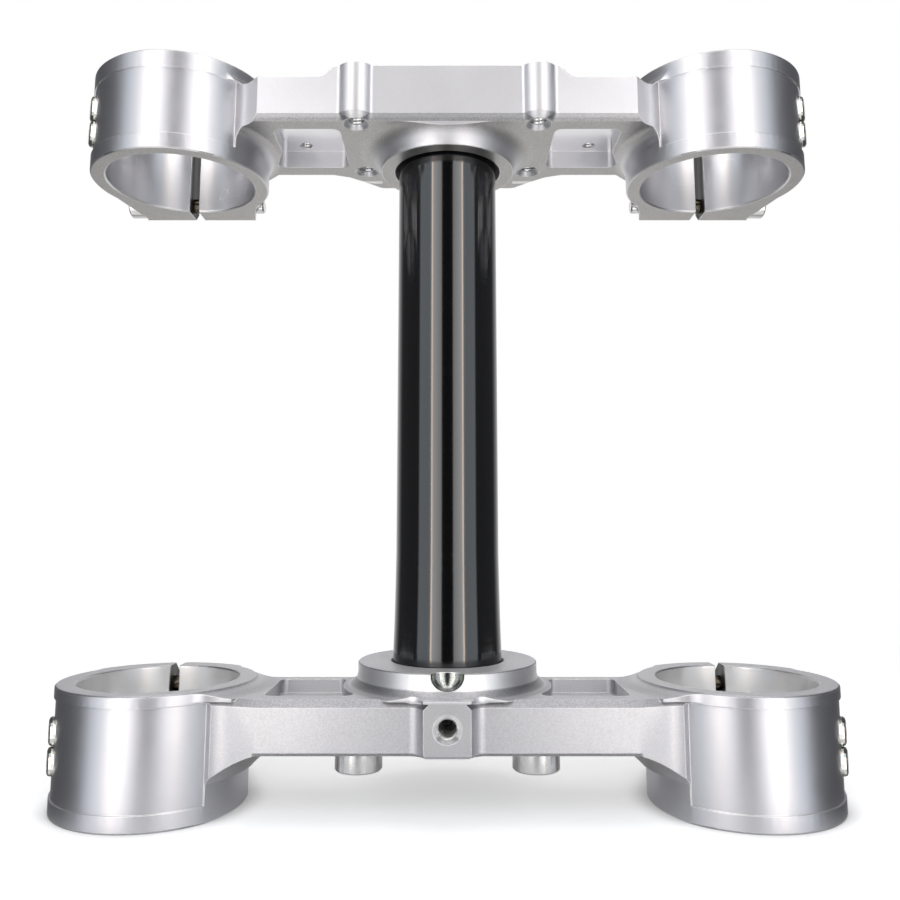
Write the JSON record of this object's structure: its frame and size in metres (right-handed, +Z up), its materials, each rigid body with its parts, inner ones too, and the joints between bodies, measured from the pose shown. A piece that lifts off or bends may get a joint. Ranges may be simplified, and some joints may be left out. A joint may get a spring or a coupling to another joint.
{
  "type": "motorcycle triple clamp",
  "caption": "Upper and lower fork clamps machined from solid metal, joined by a hollow black steering stem; split rings grip the fork tubes.",
  "frame": {"origin": "on the steering stem's axis, at the height of the lower rings' undersides, which is also the middle of the base of its bounding box", "axes": "+Z up along the stem, +X from one fork bore to the other, -Y towards the front with the tapped boss; mirror-symmetric across X except for the stem pinch screw and its nut"},
  "size_m": [0.2744, 0.0744, 0.2685],
  "materials": {
    "machined_aluminium": "fine machined, clear anodised",
    "black_anodised": "gloss black anodised",
    "stem_hardware": "black anodised",
    "zinc_screws": "zinc plated",
    "bright_screws": "bright plated"
  },
  "bodies": {
    "root": {"upper_clamp": "machined_aluminium", "lower_clamp": "machined_aluminium", "steering_stem": "black_anodised", "stem_washer": "stem_hardware", "stem_nut": "stem_hardware", "stem_pinch_bolt": "zinc_screws", "stem_pinch_nut": "zinc_screws", "stop_bolt_left": "zinc_screws", "stop_bolt_right": "zinc_screws", "pinch_screw_upper_left_low": "zinc_screws", "side_screw_upper_left_low": "bright_screws", "pinch_screw_upper_left_high": "zinc_screws", "side_screw_upper_left_high": "bright_screws", "pinch_screw_upper_right_low": "zinc_screws", "side_screw_upper_right_low": "bright_screws", "pinch_screw_upper_right_high": "zinc_screws", "side_screw_upper_right_high": "bright_screws", "pinch_screw_lower_left_low": "zinc_screws", "side_screw_lower_left_low": "bright_screws", "pinch_screw_lower_left_high": "zinc_screws", "side_screw_lower_left_high": "bright_screws", "pinch_screw_lower_right_low": "zinc_screws", "side_screw_lower_right_low": "bright_screws", "pinch_screw_lower_right_high": "zinc_screws", "side_screw_lower_right_high": "bright_screws"}
  },
  "joints": []
}
